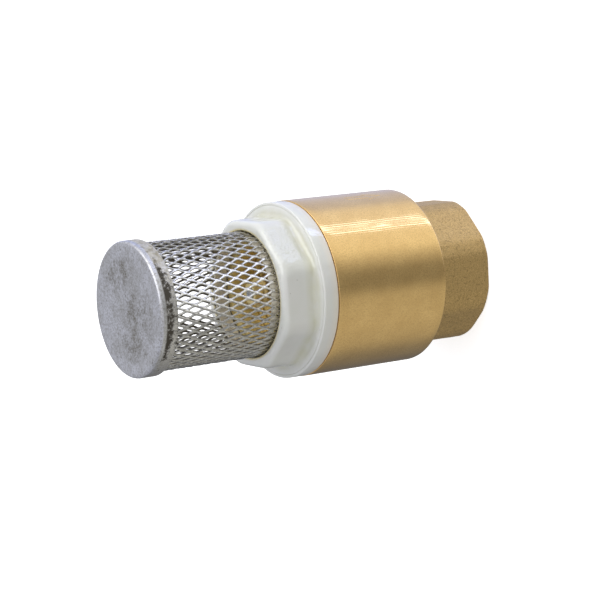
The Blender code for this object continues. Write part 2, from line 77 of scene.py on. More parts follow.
# Sizes inside the nodes. The flats stand up to 0.2 mm proud of the CAD's plainer octagons.
OUTLET_TOP = 18.3          # where the octagon meets the barrel
OUTLET_FLATS = 38.4
OUTLET_LAND = 19.9         # radius of the round corners between its flats
OUTLET_END_RADIUS = 19.45  # of the chamfer round the outlet's end
OUTLET_END_BULGE = 0.3     # the end is this much fuller on one side
OUTLET_BULGE_ANGLE = math.radians(-31.5)
NECK_FLATS = 39.3
NECK_CORNER = 6.3
NECK_BASE = NUT_BASE + 4.3
NECK_TOP = NECK_BASE + 9.7
PARTING_INSET = 0.85       # from the flange's edge to the moulding's parting line
WRINKLE_ANGLE = math.radians(-45.0)   # the facet of the neck whose skin is wrinkled
PITCH = 2.309              # G1 pipe thread
THREAD_DEPTH = 1.2
ROWS_PER_TURN = 8

# The photograph looks at the valve from this direction, with the camera rolled on its side
VIEW_AZIMUTH = 8.94
VIEW_ELEVATION = 32.5
VIEW_ROLL = 97.8
VIEW_TARGET = Vector((0.0003, -0.0241, 0.0658))
VIEW_DISTANCE = 0.5157
LENS = 120.0
FACING = math.radians(-81.5)   # the side of the valve that faces that camera


# ---------------------------------------------------------------- mesh building

def add_piece(name, mesh, look, body, *nodes):
    """Put a finished mesh in the scene, in place of these CAD nodes, on this body."""
    piece = bpy.data.objects.new(name, mesh)
    bpy.context.scene.collection.objects.link(piece)
    mesh.materials.append(look)
    if nodes:
        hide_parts(*nodes)
    if body:
        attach(piece, body)
    return piece


def finish_mesh(name, points, faces, sharp=38.0):
    """A mesh in metres from points in millimetres, with doubled points merged."""
    mesh = bpy.data.meshes.new(name)
    mesh.from_pydata([tuple(value * MM for value in point) for point in points], [], faces)
    shape = bmesh.new()
    shape.from_mesh(mesh)
    bmesh.ops.remove_doubles(shape, verts=shape.verts, dist=0.0005 * MM)
    bmesh.ops.recalc_face_normals(shape, faces=shape.faces)
    shape.to_mesh(mesh)
    shape.free()
    mesh.shade_smooth()
    mesh.set_sharp_from_angle(angle=math.radians(sharp))
    return mesh


def round_corner(before, here, after, radius, steps):
    """Points of the arc that rounds one corner of an outline."""
    here, before, after = Vector(here), Vector(before), Vector(after)
    back, ahead = before - here, after - here
    corner = back.angle(ahead)
    if math.pi - corner < 0.02:      # nearly straight: only keep the number of points even
        return [tuple(here + back.normalized() * 0.01 * (0.5 - index / steps))
                for index in range(steps + 1)]
    reach = min(radius / math.tan(corner / 2), 0.45 * back.length, 0.45 * ahead.length)
    start = here + back.normalized() * reach
    end = here + ahead.normalized() * reach
    middle = (back.normalized() + ahead.normalized()).normalized()
    centre = here + middle * (reach / math.cos(corner / 2))
    sweep = math.pi - corner
    arc = []
    for index in range(steps + 1):
        share = index / steps
        offset = ((start - centre) * math.sin((1 - share) * sweep)
                  + (end - centre) * math.sin(share * sweep)) / math.sin(sweep)
        arc.append(tuple(centre + offset))
    return arc


def rounded(outline, closed=True, steps=3):
    """Replace each corner (radius, height, rounding) of an outline by an arc."""
    made = []
    for index, (radius, height, rounding) in enumerate(outline):
        at_end = not closed and index in (0, len(outline) - 1)
        if rounding == 0 or at_end:
            made.append((radius, height))
            continue
        before = outline[index - 1][:2]
        after = outline[(index + 1) % len(outline)][:2]
        made += round_corner(before, (radius, height), after, rounding, steps)
    return made


def even_angles(count):
    return [math.tau * index / count for index in range(count)]


def revolve(name, profile, look, body, nodes, angles=None, closed=True, sharp=38.0):
    """A turned piece from a profile, or from a function that gives the profile at each angle.

    Profiles run so that the material is on the left. An open one starts and ends on the axis.
    """
    angles = angles or even_angles(96)
    columns = [profile(angle) if callable(profile) else profile for angle in angles]
    rows = len(columns[0])
    points = [(radius * math.cos(angle), radius * math.sin(angle), height)
              for angle, column in zip(angles, columns) for radius, height in column]
    faces = []
    for column in range(len(angles)):
        after = (column + 1) % len(angles)
        for row in range(rows if closed else rows - 1):
            above = (row + 1) % rows
            faces.append((column * rows + row, after * rows + row,
                          after * rows + above, column * rows + above))
    return add_piece(name, finish_mesh(name, points, faces, sharp), look, body, *nodes)


def polygon_radius(angle, sides, flats, corner):
    """Radius of a regular polygon with rounded corners. Its first flat faces angle 0."""
    half_step = math.pi / sides
    half_flats = flats / 2
    off = abs((angle + half_step) % (2 * half_step) - half_step)
    flat_end = math.atan((half_flats - corner) * math.tan(half_step) / half_flats)
    if off <= flat_end:
        return half_flats / math.cos(off)
    centre = (half_flats - corner) / math.cos(half_step)
    rest = half_step - off
    return centre * math.cos(rest) + math.sqrt(corner ** 2 - (centre * math.sin(rest)) ** 2)


def smooth_least(first, second, blend):
    """The smaller of two lengths, rounded off where they are within blend of each other."""
    near_share = max(0.0, 1.0 - abs(first - second) / blend)
    return min(first, second) - near_share ** 2 * blend / 4


def thread_rows(angle, radius, base, top, depth, pitch=PITCH, rows_per_turn=ROWS_PER_TURN):
    """Points up a threaded wall. The thread runs out softly at both ends."""
    count = max(2, round((top - base) / pitch * rows_per_turn))
    made = []
    for index in range(count + 1):
        height = base + (top - base) * index / count
        wave = 0.5 - 0.5 * math.cos(math.tau * (height / pitch - angle / math.tau))
        fade = min(1.0, (height - base) / (0.6 * pitch), (top - height) / (0.6 * pitch))
        made.append((radius + depth * wave * fade, height))
    return made


def levels(base, top, step):
    """Evenly spaced heights between two levels, without the ends."""
    count = max(1, round(abs(top - base) / step))
    return [base + (top - base) * index / count for index in range(1, count)]


def unevenness(angle, height, radius, grain, depth):
    """A small smooth irregularity of a surface, in millimetres."""
    place = Vector((radius * math.cos(angle), radius * math.sin(angle), height)) / grain
    return depth * noise.noise(place)


# ---------------------------------------------------------------- materials

def add_node(tree, kind, inputs=(), **settings):
    """A new shader node with these settings. Its inputs are given as values or as links."""
    made = tree.nodes.new("ShaderNode" + kind)
    for key, value in settings.items():
        setattr(made, key, value)
    for key, value in dict(inputs).items():
        if isinstance(value, bpy.types.NodeSocket):
            tree.links.new(value, made.inputs[key])
        else:
            made.inputs[key].default_value = value
    return made


class Paint:
    """Builds the nodes of one material. Patterns are laid out in millimetres on the piece."""

    def __init__(self, name, colour, roughness, metallic):
        self.material = bpy.data.materials.new(name)
        self.material.use_nodes = True
        self.tree = self.material.node_tree
        self.shader = self.tree.nodes["Principled BSDF"]
        self.set("Base Color", (*colour, 1.0))
        self.set("Roughness", roughness)
        self.set("Metallic", metallic)
        spot = self.node("TexCoord").outputs["Object"]
        self.place = self.node("VectorMath", {0: spot, "Scale": 1 / MM},
                               operation="SCALE").outputs[0]
        split = self.node("SeparateXYZ", {0: self.place})
        self.x, self.y, self.z = split.outputs

    def node(self, kind, inputs=(), **settings):
        return add_node(self.tree, kind, inputs, **settings)

    def set(self, socket, value):
        if isinstance(value, bpy.types.NodeSocket):
            self.tree.links.new(value, self.shader.inputs[socket])
        else:
            self.shader.inputs[socket].default_value = value

    def math(self, operation, *values):
        return self.node("Math", dict(enumerate(values)), operation=operation).outputs[0]

    def product(self, first, *others):
        for other in others:
            first = self.math("MULTIPLY", first, other)
        return first

    def most(self, first, *others):
        for other in others:
            first = self.math("MAXIMUM", first, other)
        return first

    def angle(self):
        return self.math("ARCTAN2", self.y, self.x)

    def radius(self):
        return self.math("SQRT", self.math("ADD", self.product(self.x, self.x),
                                           self.product(self.y, self.y)))

    def towards(self, angle):
        """1 on the side of the valve at this angle, 0 a quarter turn away, -1 behind."""
        return self.math("COSINE", self.math("SUBTRACT", self.angle(), angle))

    def scaled(self, factors):
        """The place, with each of its axes multiplied by its own factor."""
        return self.node("VectorMath", {0: self.place, 1: factors},
                         operation="MULTIPLY").outputs[0]

    def noise(self, size, detail=2.0, roughness=0.55, stretch=(1.0, 1.0, 1.0)):
        """Noise whose features are about this many millimetres across."""
        spot = self.scaled(stretch)
        inputs = {"Vector": spot, "Scale": 1 / size, "Detail": detail, "Roughness": roughness}
        return self.node("TexNoise", inputs).outputs[0]

    def spots(self, size, reach, edge):
        """1 in small spots strewn about this many millimetres apart, 0 elsewhere."""
        cells = self.node("TexVoronoi", {"Vector": self.place, "Scale": 1 / size})
        return self.between(cells.outputs["Distance"], reach, edge)

    def between(self, value, low, high, to_low=0.0, to_high=1.0):
        """value, taken from the range low to high into the range to_low to to_high."""
        inputs = {0: value, 1: low, 2: high, 3: to_low, 4: to_high}
        return self.node("MapRange", inputs, clamp=True).outputs[0]

    def near(self, value, centre, width):
        """1 at centre, falling to 0 at this distance on both sides."""
        off = self.math("ABSOLUTE", self.math("SUBTRACT", value, centre))
        return self.between(off, 0.0, width, 1.0, 0.0)

    def mix(self, factor, first, second):
        """The first colour where factor is 0, the second where it is 1."""
        def full(value):
            return value if isinstance(value, bpy.types.NodeSocket) else (*value, 1.0)
        inputs = {0: factor, 6: full(first), 7: full(second)}
        return self.node("Mix", inputs, data_type="RGBA").outputs[2]

    def patch(self, across, along, reach):
        """1 at a point of the XY plane, 0 beyond reach. The first axis runs towards FACING."""
        middle = Matrix.Rotation(FACING, 2) @ Vector((across, along))
        off = self.node("VectorMath", {0: self.scaled((1, 1, 0)), 1: (*middle, 0.0)},
                        operation="DISTANCE").outputs[1]
        return self.between(off, 0.0, reach, 1.0, 0.0)

    def bump(self, height, depth, strength=1.0, onto=None):
        """Bump of this depth in millimetres where height runs from 0 to 1."""
        inputs = {"Height": height, "Distance": depth * MM, "Strength": strength}
        if onto:
            inputs["Normal"] = onto
        return self.node("Bump", inputs).outputs[0]


def body_brass():
    """Turned barrel with fine tool marks; grainy sand-cast octagon."""
    paint = Paint("body_brass", (0.80, 0.55, 0.22), 0.26, 1.0)
    outside = paint.between(paint.radius(), 18.2, 18.5)      # the socket's inside is turned
    low_end = paint.between(paint.z, OUTLET_TOP - 0.25, OUTLET_TOP - 0.1, 1.0, 0.0)
    cast = paint.product(outside, low_end)

    tarnish = paint.noise(6.0, 4.0, 0.6)
    speckle = paint.noise(0.4, 3.0, 0.7)
    turned = paint.mix(paint.between(tarnish, 0.35, 0.7), (0.83, 0.575, 0.255), (0.74, 0.50, 0.215))
    turned = paint.mix(paint.between(speckle, 0.44, 0.68, 0.0, 0.7), turned, (0.59, 0.40, 0.175))
    grain = paint.noise(0.30, 4.0, 0.85)
    rough_cast = paint.mix(paint.between(grain, 0.34, 0.68), (0.33, 0.22, 0.085),
                           (0.76, 0.54, 0.25))
    pits = paint.between(paint.noise(0.8, 3.0, 0.7), 0.36, 0.46, 0.45, 0.0)
    rough_cast = paint.mix(pits, rough_cast, (0.20, 0.14, 0.06))
    paint.set("Base Color", paint.mix(cast, turned, rough_cast))

    lines = paint.noise(0.7, 4.0, 0.75, stretch=(0.3, 0.3, 4.0))
    polished = paint.near(paint.angle(), CHATTER_ANGLE, 2 * CHATTER_HALF_WIDTH)
    smooth = paint.math("SUBTRACT", paint.between(lines, 0.3, 0.7, 0.16, 0.24),
                        paint.product(polished, 0.08))
    paint.set("Roughness", paint.most(smooth, paint.product(cast, 0.5)))

    scratches = paint.product(paint.math("ADD", lines, speckle), 0.15)
    pitted = paint.math("ADD", grain, paint.product(paint.noise(1.3, 2.0), 1.5))
    normal = paint.bump(paint.product(scratches, paint.math("SUBTRACT", 1.0, cast)), 0.02)
    paint.set("Normal", paint.bump(paint.product(pitted, cast), 0.06, 0.9, normal))
    return paint.material


def machined_brass(name, colour):
    """Turned brass of the inner pieces, dulled by standing in water."""
    paint = Paint(name, colour, 0.5, 0.45)
    dull = tuple(0.9 * value for value in colour)
    stains = paint.between(paint.noise(2.2, 3.0), 0.4, 0.65)
    paint.set("Base Color", paint.mix(stains, colour, dull))
    lines = paint.noise(0.5, 3.0, 0.7, stretch=(0.1, 0.1, 4.0))
    paint.set("Roughness", paint.between(lines, 0.3, 0.7, 0.42, 0.56))
    paint.set("Normal", paint.bump(lines, 0.01))
    return paint.material


def nylon_colour(paint):
    """Milky white, with grime in the neck's root and round its mouth, a few dark specks, painted
    shade inside the mesh's radius and a painted brass tint at the foot.
    """
    colour = paint.mix(paint.between(paint.noise(12.0), 0.35, 0.65), (0.69, 0.69, 0.670),
                       (0.665, 0.675, 0.635))

    root = paint.near(paint.z, NECK_BASE + 0.7, 2.6)
    inner = paint.between(paint.radius(), FLANGE_RADIUS - 1.0, FLANGE_RADIUS - 3.0)
    cloudy = paint.between(paint.noise(4.0, 3.0), 0.3, 0.65, 0.3, 0.7)
    colour = paint.mix(paint.product(root, inner, cloudy), colour, (0.56, 0.55, 0.36))

    parting = paint.near(paint.radius(), FLANGE_RADIUS - PARTING_INSET, 0.16)
    on_face = paint.between(paint.z, NECK_BASE - 0.3, NECK_BASE - 0.1)
    colour = paint.mix(paint.product(parting, on_face, 0.5), colour, (0.50, 0.49, 0.38))

    rim = paint.near(paint.z, NECK_TOP, 0.5)
    mouth = paint.between(paint.radius(), MESH_RADIUS + 0.9, MESH_RADIUS + 0.3, 0.0, 0.85)
    colour = paint.mix(paint.product(rim, mouth), colour, (0.60, 0.50, 0.20))
    # painted shade: the nylon inside the mesh's radius (lip, bores, thread) is tinted darker and
    # yellower
    inside = paint.between(paint.radius(), MESH_RADIUS - 0.1, MESH_RADIUS - 0.4)
    colour = paint.mix(paint.product(inside, 0.85), colour, (0.72, 0.66, 0.54))

    # painted light: the brass's colour showing through the translucent nylon near the barrel is
    # painted on as a tint
    foot = paint.between(paint.z, BODY_TOP + 2.6, BODY_TOP + 0.2, 0.0, 0.5)
    colour = paint.mix(foot, colour, (0.80, 0.68, 0.52))      # the brass shows through
    return paint.mix(paint.spots(3.4, 0.035, 0.025), colour, (0.12, 0.10, 0.09))


def nylon():
    """Milky moulded nylon: soft translucency, faint sink marks, one facet with a wrinkled skin."""
    paint = Paint("nylon", (0.82, 0.82, 0.79), 0.24, 0.0)
    paint.set("Base Color", nylon_colour(paint))
    paint.set("Subsurface Weight", 0.35)
    paint.set("Subsurface Radius", (1.0, 1.0, 0.95))
    paint.set("Subsurface Scale", 0.0015)
    paint.set("Specular IOR Level", 1.0)
    paint.set("IOR", 1.6)
    paint.set("Roughness", paint.between(paint.noise(2.0, 2.0), 0.35, 0.65, 0.05, 0.13))

    on_facet = paint.between(paint.towards(WRINKLE_ANGLE), 0.93, 0.96)
    on_neck = paint.between(paint.z, NECK_BASE + 1.5, NECK_BASE + 2.5)
    wrinkled = paint.between(paint.product(on_facet, on_neck), 0.0, 1.0, 0.12, 1.0)
    wrinkles = paint.bump(paint.product(paint.noise(1.0, 3.0, 0.55), wrinkled), 0.32)
    sink_marks = paint.noise(5.0, 1.0)
    paint.set("Normal", paint.bump(sink_marks, 0.30, 1.0, wrinkles))
    return paint.material


def mesh_steel():
    """Stainless strands: outer edges keep the bright steel colour, with painted shade where they
    lean inwards and on the tube's underside, and dirt along its top.
    """
    paint = Paint("mesh_steel", (0.78, 0.78, 0.80), 0.24, 1.0)
    colour = paint.mix(paint.between(paint.noise(0.9, 3.0), 0.45, 0.75), (0.78, 0.78, 0.785),
                       (0.50, 0.50, 0.50))
    # dirt on the tube's top side and painted shade on its underside, mixed in together as grime
    above = paint.between(paint.towards(FACING + 1.45), 0.86, 0.97, 0.0, 0.92)
    underside_shade = paint.between(paint.towards(FACING - 1.3), 0.2, 0.85, 0.0, 0.6)
    patchy = paint.between(paint.noise(0.8, 2.0), 0.35, 0.55, 0.5, 1.0)
    grime = paint.product(paint.most(above, underside_shade), patchy)
    colour = paint.mix(grime, colour, (0.20, 0.195, 0.185))
    # painted shade: the strands' inner parts, where they lean in below the middle radius, are
    # painted dark brown
    painted_recess_shade = paint.between(paint.radius(), MESH_RADIUS - 0.32, MESH_RADIUS - 0.66)
    colour = paint.mix(painted_recess_shade, colour, (0.15, 0.135, 0.105))
    foot = paint.between(paint.z, NECK_TOP + 3.0, NECK_TOP + 0.3, 0.0, 0.6)
    stain = paint.product(foot, paint.between(paint.noise(1.2), 0.35, 0.6))
    paint.set("Base Color", paint.mix(stain, colour, (0.36, 0.32, 0.19)))
    paint.set("Metallic", paint.between(painted_recess_shade, 0.0, 1.0, 1.0, 0.5))
    paint.set("Roughness", paint.between(painted_recess_shade, 0.0, 1.0, 0.22, 0.5))
    paint.set("Normal", paint.bump(paint.noise(0.4, 2.0), 0.015))
    return paint.material


def cap_stains(paint, fine):
    """Brown stains on the cap's face, mostly in three patches, and none near its rim."""
    inner = paint.between(paint.radius(), CAP_RADIUS - 3.4, CAP_RADIUS - 5.0)
    handled = paint.most(paint.patch(-3.6, 12.0, 10.0), paint.patch(4.5, -2.5, 9.5),
                         paint.patch(2.0, -11.0, 9.0))
    blotches = paint.between(paint.noise(2.6, 5.0, 0.75), 0.42, 0.60, 0.1, 0.85)
    return paint.product(blotches, inner, paint.between(handled, 0.0, 0.5, 0.15, 1.0),
                         paint.between(fine, 0.34, 0.56, 0.25, 1.0))


def cap_film(paint):
    """Where a pale crust covers the upper side of the skirt."""
    above = paint.between(paint.towards(FACING + 1.2), 0.45, 0.9, 0.0, 0.9)
    return paint.product(above, paint.between(paint.noise(1.6, 4.0, 0.7), 0.35, 0.55, 0.45, 1.0))


def cap_dirt(paint):
    """Where dark dirt is caked on the front of the skirt, next to the rim most of all."""
    beside = paint.between(paint.towards(FACING - 0.15), 0.60, 0.9, 0.58, 0.40)
    clean_edge = paint.between(paint.z, CAP_TOP - 2.4, CAP_TOP - 3.6, 0.0, 0.13)
    threshold = paint.math("ADD", beside, clean_edge)
    over = paint.math("SUBTRACT", paint.noise(1.5, 5.0, 0.85), threshold)
    return paint.between(over, -0.05, 0.06)


def cap_steel():
    """Dull pressed steel: fine mottled stains on the face, caked dirt round the skirt."""
    paint = Paint("cap_steel", (0.42, 0.42, 0.43), 0.42, 1.0)
    clouds = paint.noise(7.0, 3.0, 0.6, stretch=(1.0, 1.0, 0.4))
    fine = paint.noise(0.55, 4.0, 0.8)
    colour = paint.mix(paint.between(clouds, 0.38, 0.62), (0.65, 0.66, 0.71), (0.54, 0.545, 0.57))
    colour = paint.mix(paint.between(fine, 0.43, 0.66, 0.0, 0.75), colour, (0.24, 0.225, 0.20))
    colour = paint.mix(cap_stains(paint, fine), colour, (0.17, 0.155, 0.12))

    on_skirt = paint.between(paint.z, CAP_TOP - 1.3, CAP_TOP - 1.7)
    colour = paint.mix(on_skirt, colour, paint.mix(0.45, colour, (0.62, 0.60, 0.55)))
    film = paint.product(cap_film(paint), on_skirt)
    crust = paint.mix(paint.between(paint.noise(1.3, 4.0, 0.7), 0.42, 0.60), (0.50, 0.475, 0.41),
                      (0.30, 0.27, 0.20))
    colour = paint.mix(film, colour, crust)
    grime = paint.most(paint.product(on_skirt, cap_dirt(paint)),
                       paint.product(paint.spots(3.4, 0.09, 0.05), 0.7))
    paint.set("Base Color", paint.mix(grime, colour, (0.055, 0.047, 0.035)))

    coated = paint.most(grime, film)
    paint.set("Metallic", paint.between(coated, 0.0, 1.0, 0.95, 0.2))
    roughness = paint.between(clouds, 0.35, 0.65, 0.34, 0.46)
    paint.set("Roughness", paint.most(roughness, paint.product(coated, 0.75)))
    relief = paint.math("ADD", paint.product(fine, 0.6), clouds)
    relief = paint.math("SUBTRACT", relief, paint.product(grime, 0.6))
    paint.set("Normal", paint.bump(relief, 0.06, 0.8))
    return paint.material


def bright_steel(name, colour, roughness):
    """Drawn or turned stainless of the stem, spring, nuts and washers."""
    paint = Paint(name, colour, roughness, 1.0)
    worn = tuple(0.7 * value for value in colour)
    wear = paint.between(paint.noise(1.0, 3.0), 0.45, 0.7)
    paint.set("Base Color", paint.mix(wear, colour, worn))
    paint.set("Roughness", paint.between(paint.noise(0.4), 0.3, 0.7, roughness - 0.06,
                                         roughness + 0.1))
    paint.set("Normal", paint.bump(paint.noise(0.3, 2.0), 0.008))
    return paint.material


def plain_plastic(name, colour, roughness, grain):
    """Moulded or pressed soft material with a fine grain of this size."""
    paint = Paint(name, colour, roughness, 0.0)
    darker = tuple(0.8 * value for value in colour)
    mottling = paint.between(paint.noise(grain * 4), 0.4, 0.7)
    paint.set("Base Color", paint.mix(mottling, colour, darker))
    paint.set("Roughness", paint.between(paint.noise(grain), 0.3, 0.7, roughness - 0.08,
                                         roughness + 0.08))
    paint.set("Normal", paint.bump(paint.noise(grain, 3.0), grain * 0.12))
    return paint.material


# ---------------------------------------------------------------- valve body

ARROW_ANGLE = math.radians(-14.5)
ARROW_LEVEL = 32.0
ARROW_LENGTH = 11.0
ARROW_HEAD = 4.6
ARROW_HEAD_WIDTH = 4.4
ARROW_SHAFT_WIDTH = 1.6
ARROW_STROKE = 0.36
ARROW_DEPTH = 0.09
ARROW_CELL = 0.14          # size of the mesh cells that carry the engraving

# Chatter: shallow axial waves that the lathe left along one side of the barrel
CHATTER_ANGLE = FACING + math.radians(36.0)
CHATTER_HALF_WIDTH = math.radians(8.0)
CHATTER_WAVE = math.radians(1.55)
CHATTER_DEPTH = 0.028
CHATTER_COLUMNS = 6        # columns of the mesh in each wave


def arrow_outline():
    """Corners of the flow arrow: across the axis, and along it towards the outlet."""
    tail, neck, tip = -ARROW_LENGTH / 2, ARROW_LENGTH / 2 - ARROW_HEAD, ARROW_LENGTH / 2
    shaft, head = ARROW_SHAFT_WIDTH / 2, ARROW_HEAD_WIDTH / 2
    half = [(shaft, tail), (shaft, neck), (head, neck), (0.0, tip)]
    return half + [(-across, along) for across, along in reversed(half[:3])]


def engraving(angle, height, outline):
    """Depth of the engraved line of the arrow at one point of the barrel."""
    point = Vector(((angle - ARROW_ANGLE) * BARREL_RADIUS, ARROW_LEVEL - height))
    reach = Vector((ARROW_HEAD_WIDTH, ARROW_LENGTH)) / 2 + Vector((1.0, 1.0))
    if abs(point.x) > reach.x or abs(point.y) > reach.y:
        return 0.0
    nearest = 99.0
    for index, corner in enumerate(outline):
        start, run = Vector(corner), Vector(outline[index - 1]) - Vector(corner)
        share = min(1.0, max(0.0, (point - start).dot(run) / run.length_squared))
        nearest = min(nearest, (point - start - run * share).length)
    inside = 1.0 - min(1.0, max(0.0, (nearest - ARROW_STROKE / 2 + 0.12) / 0.24))
    return ARROW_DEPTH * inside * inside * (3 - 2 * inside)


def chatter(angle, height):
    """Depth of the chatter at one point of the barrel."""
    off = abs(angle - CHATTER_ANGLE) / CHATTER_HALF_WIDTH
    if off >= 1.0:
        return 0.0
    drift = 0.25 * noise.noise(Vector((angle * 3.0, 0.0, height / 9.0)))
    wave = 0.5 - 0.5 * math.cos(math.tau * (angle / CHATTER_WAVE + drift))
    patch = 0.8 + 0.8 * noise.noise(Vector((angle * 20.0, 7.0, height / 4.0)))
    return CHATTER_DEPTH * wave * (1 - off * off) * min(1.0, max(0.1, patch))


def body_angles():
    """Even angles, with many more across the arrow and across the chatter."""
    crowded = [(ARROW_ANGLE, (ARROW_HEAD_WIDTH / 2 + 0.8) / BARREL_RADIUS,
                ARROW_CELL / BARREL_RADIUS),
               (CHATTER_ANGLE, CHATTER_HALF_WIDTH, CHATTER_WAVE / CHATTER_COLUMNS)]
    made = [angle - math.tau if angle > math.pi else angle for angle in even_angles(240)]
    for middle, half, fine in crowded:
        made = [angle for angle in made if abs(angle - middle) > half + fine]
        made += [middle - half + fine * index for index in range(round(2 * half / fine) + 1)]
    return sorted(made)


def valve_body(look):
    port, chamber, mouth = 13.0, 18.5, 20.6
    socket_depth, chamber_floor, mouth_level = 16.0, 21.0, 46.0
    minor, lead_in, end_face = 15.3, 16.9, 17.6      # radii of the socket, its chamfer, its end
    step_face = 22.5                                 # a radius on the barrel's lower face
    cast_start, cast_end = 1.9, OUTLET_TOP - 0.8     # heights of the octagon's uneven stretch
    arrow = arrow_outline()
    half_arrow = ARROW_LENGTH / 2 + 0.8
    barrel_levels = (levels(OUTLET_TOP + 0.6, ARROW_LEVEL - half_arrow, 1.5)
                     + levels(ARROW_LEVEL - half_arrow, ARROW_LEVEL + half_arrow, ARROW_CELL)
                     + levels(ARROW_LEVEL + half_arrow, BODY_TOP - 0.6, 2.0))

    def profile(angle):
        flat = smooth_least(polygon_radius(angle, 8, OUTLET_FLATS, 0.1), OUTLET_LAND, 0.3)
        bulge = OUTLET_END_BULGE * max(0.0, math.cos(angle - OUTLET_BULGE_ANGLE))
        end = smooth_least(flat - 0.04, OUTLET_END_RADIUS + bulge, 0.2)
        rise = (flat - end) * 1.2

        def cast(height):
            return flat + unevenness(angle, height, flat, 3.0, 0.07)

        outer = rounded([(end_face, 0.0, 0.0), (end, 0.0, 0.15), (flat, rise, 0.3),
                         (flat, cast_start, 0.0)], closed=False)
        outer += [(cast(height), height) for height in levels(cast_start, cast_end, 0.7)]
        outer += rounded([(flat, cast_end, 0.0), (flat, OUTLET_TOP, 0.3),
                          (step_face, OUTLET_TOP, 0.0), (BARREL_RADIUS, OUTLET_TOP, 0.5),
                          (BARREL_RADIUS, OUTLET_TOP + 1.2, 0.0)], closed=False, steps=4)[:-1]
        outer += [(BARREL_RADIUS - engraving(angle, height, arrow) - chatter(angle, height), height)
                  for height in barrel_levels]
        outer += rounded([(BARREL_RADIUS, BODY_TOP - 1.2, 0.0), (BARREL_RADIUS, BODY_TOP, 0.15),
                          (mouth, BODY_TOP, 0.4), (mouth, mouth_level, 0.1),
                          (chamber, mouth_level, 0.3), (chamber, chamber_floor, 0.5),
                          (port, chamber_floor, 0.4), (port, socket_depth, 0.3),
                          (minor, socket_depth, 0.0)], closed=False)[1:]
        thread = thread_rows(angle, minor, 0.9, socket_depth - 0.3, THREAD_DEPTH)
        return outer + thread[::-1] + [(lead_in, 0.0)]

    return revolve("body_turned_brass", profile, look, "housing", ["valve_body"],
                   angles=body_angles(), sharp=50.0)


def inlet_seat(look):
    spigot, guide_bore, seat_bore = 16.4, 13.3, 11.6
    lip, groove = 12.9, 14.2
    collar_base, collar_top, ledge = 47.6, 53.0, 52.4
    groove_base, groove_top = 55.4, 57.0

    def profile(angle):
        made = rounded([(seat_bore, SEAT_BASE + 4.0, 0.0), (seat_bore, SEAT_BASE, 0.2),
                        (lip, SEAT_BASE, 0.35), (lip, collar_base, 0.3),
                        (COLLAR_RADIUS, collar_base, 0.2), (COLLAR_RADIUS, collar_top, 0.3),
                        (spigot, collar_top, 0.2), (spigot, collar_top + 0.8, 0.0)], closed=False)
        made += thread_rows(angle, spigot, collar_top + 0.9, SPIGOT_TOP - 0.9, -THREAD_DEPTH)
        made += rounded([(spigot - 0.02, SPIGOT_TOP - 0.85, 0.0), (spigot - 0.8, SPIGOT_TOP, 0.15),
                         (guide_bore, SPIGOT_TOP, 0.25), (guide_bore, groove_top, 0.1),
                         (groove, groove_top, 0.1), (groove, groove_base, 0.1),
                         (guide_bore, groove_base, 0.1), (guide_bore, ledge, 0.15),
                         (seat_bore, ledge, 0.15), (seat_bore, ledge - 1.5, 0.0)], closed=False)
        return made

    return revolve("inlet_seat_turned", profile, look, "housing", ["inlet_seat"],
                   angles=even_angles(160))


# ---------------------------------------------------------------- strainer

def strainer_nut(look):
    thread_bore, lip_bore, lip_outside = 16.7, 15.4, 15.95
    neck_bore = MESH_RADIUS + 0.09
    face_edge, widest, curve_length = 19.5, 22.0, 4.0
    edge_round = 1.5                         # of the front edge, on the flats
    blend = 1.6                              # between the flats and the curved front
    shoulder, slot_floor = 64.2, 64.9
    base = BODY_TOP + 0.02                   # rests on the barrel
    parting = FLANGE_RADIUS - PARTING_INSET
    lip_drop = 0.7                           # the lip is lower on the far side

    def dome(share):
        """Radius and height on the curved front of the neck, from 0 at its foot to 1."""
        turn = share * math.pi / 2
        return (face_edge + (widest - face_edge) * math.cos(turn),
                NECK_TOP - curve_length * (1 - math.sin(turn)))

    def profile(angle):
        flat = polygon_radius(angle, 8, NECK_FLATS, NECK_CORNER)
        flat += unevenness(angle, 60.0, 20.0, 7.0, 0.08)
        lip_top = LIP_TOP - lip_drop * (1 - math.cos(angle - FACING))
        outline = [
            (thread_bore + 0.8, base, 0.15),
            (FLANGE_RADIUS, base, 0.6),
            (FLANGE_RADIUS, NECK_BASE, 0.8),
            (parting + 0.1, NECK_BASE, 0.0),
            (parting, NECK_BASE - 0.09, 0.0),
            (parting - 0.1, NECK_BASE, 0.0),
            (flat + 0.12, NECK_BASE, 1.6),
        ]
        for share in (0.0, 0.1, 0.2, 0.3, 0.4, 0.48, 0.56, 0.64, 0.72, 0.8, 0.87, 0.94, 1.0):
            radius, height = dome(share)
            under = max(0.0, edge_round - (NECK_TOP - height))
            wall = flat - edge_round + math.sqrt(edge_round ** 2 - under ** 2)
            outline.append((smooth_least(wall, radius, blend), height, 0.0))
        outline += [
            (neck_bore, NECK_TOP, 0.3),
            (neck_bore, slot_floor, 0.1),
            (lip_outside, slot_floor, 0.1),
            (lip_outside, lip_top, 0.15),
            (lip_bore, lip_top, 0.15),
            (lip_bore, shoulder, 0.1),
            (thread_bore, shoulder, 0.1),
        ]
        made = rounded(outline, steps=4)
        thread = thread_rows(angle, thread_bore, base + 0.9, shoulder - 0.4, THREAD_DEPTH)
        return made + thread[::-1]

    return revolve("strainer_nut_moulded", profile, look, "housing", ["strainer_nut"],
                   angles=even_angles(256), sharp=50.0)


MESH_AROUND = 47           # diamonds round the tube
DIAMOND_LENGTH = 5.3       # from bond to bond along the tube
DIAMOND_ANGLE = math.radians(-73.5)   # one diamond's middle
DIAMOND_LEVEL = 71.47
HOLE_HALF_WIDTH = 0.65
HOLE_HALF_LENGTH = 1.80
STRAND_RISE = 0.24         # how far the strands lean out of the tube's surface
STRAND_THICKNESS = 0.45


